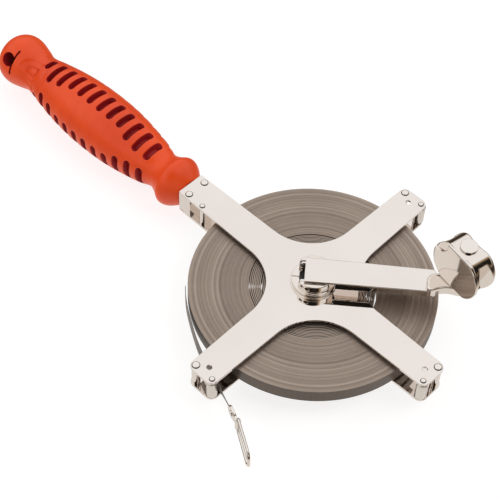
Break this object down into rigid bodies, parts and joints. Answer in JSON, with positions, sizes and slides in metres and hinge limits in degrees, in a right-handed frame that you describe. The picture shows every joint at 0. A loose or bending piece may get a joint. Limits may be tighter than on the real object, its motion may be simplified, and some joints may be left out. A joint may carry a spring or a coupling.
{
  "type": "open-frame tape reel",
  "caption": "Open cross-shaped frame with a flat steel blade wound on a central spool, turned by a folding crank with a knob and held by a long slotted grip.",
  "frame": {"origin": "on the spool axis, at the outer face of the back plate", "axes": "+Z along the spool axis towards the crank; the grip points along -X"},
  "size_m": [0.3672, 0.201, 0.0745],
  "materials": {
    "plated_steel": "bright nickel-plated sheet steel, near mirror",
    "rivet_steel": "polished nickel-plated rivet",
    "roller_steel": "satin turned steel",
    "blade_steel": "grey-brown coated steel blade, fine edge lines",
    "spool_steel": "plain zinc-plated steel",
    "dark_steel": "black oxide steel",
    "cast_chrome": "bright plated casting, softly polished",
    "grip_plastic": "orange-red moulded plastic, semi-gloss",
    "core_plastic": "deep red moulded plastic",
    "bush_bronze": "plain bearing metal"
  },
  "bodies": {
    "frame": {"back_plate": "plated_steel", "front_plate": "plated_steel", "corner_posts": "rivet_steel", "roller_pins": "rivet_steel", "grip_rivets": "rivet_steel", "side_post": "rivet_steel", "grip_block": "plated_steel", "grip_rod": "spool_steel", "grip_core": "core_plastic", "grip_shell": "grip_plastic", "grip_nut": "dark_steel", "rear_bush": "bush_bronze", "front_bush": "cast_chrome", "blade_lead": "blade_steel", "end_clip": "rivet_steel", "clip_rivet": "rivet_steel"},
    "spool": {"spool_axle": "spool_steel", "spool_drum": "spool_steel", "blade_inner_turns": "blade_steel", "blade_anchor": "spool_steel", "blade_coil": "blade_steel", "crank_hub": "cast_chrome", "axle_screw": "dark_steel", "set_screw": "dark_steel", "crank_pin": "rivet_steel"},
    "crank": {"crank_arm": "plated_steel", "knob_foot": "cast_chrome", "foot_rivet": "rivet_steel", "knob_pin": "rivet_steel"},
    "knob": {"knob_body": "cast_chrome"},
    "roller_a": {"roller_right": "roller_steel"},
    "roller_b": {"roller_far": "roller_steel"},
    "roller_c": {"roller_near": "roller_steel"},
    "ring": {"end_ring": "cast_chrome"}
  },
  "joints": [
    {"name": "spool_spin", "type": "hinge", "parent": "frame", "child": "spool", "pos_m": [0, 0, 0], "axis": [0, 0, 1], "continuous": true},
    {"name": "crank_fold", "type": "hinge", "parent": "spool", "child": "crank", "pos_m": [-0.0051, -0.00419, 0.0238], "axis": [0.6347, -0.7727, 0], "range_deg": [0, 150]},
    {"name": "knob_spin", "type": "hinge", "parent": "crank", "child": "knob", "pos_m": [0.06429, 0.05281, 0.045], "axis": [0, 0, 1], "continuous": true},
    {"name": "roller_a_spin", "type": "hinge", "parent": "frame", "child": "roller_a", "pos_m": [0.0887, -0.0065, 0.0086], "axis": [0, 0, 1], "continuous": true},
    {"name": "roller_b_spin", "type": "hinge", "parent": "frame", "child": "roller_b", "pos_m": [0.0065, 0.0887, 0.0086], "axis": [0, 0, 1], "continuous": true},
    {"name": "roller_c_spin", "type": "hinge", "parent": "frame", "child": "roller_c", "pos_m": [0.0065, -0.0887, 0.0086], "axis": [0, 0, 1], "continuous": true},
    {"name": "ring_swing", "type": "hinge", "parent": "frame", "child": "ring", "pos_m": [0.0329, -0.095, 0.0086], "axis": [0, 0, 1], "range_deg": [-75, 75]}
  ]
}
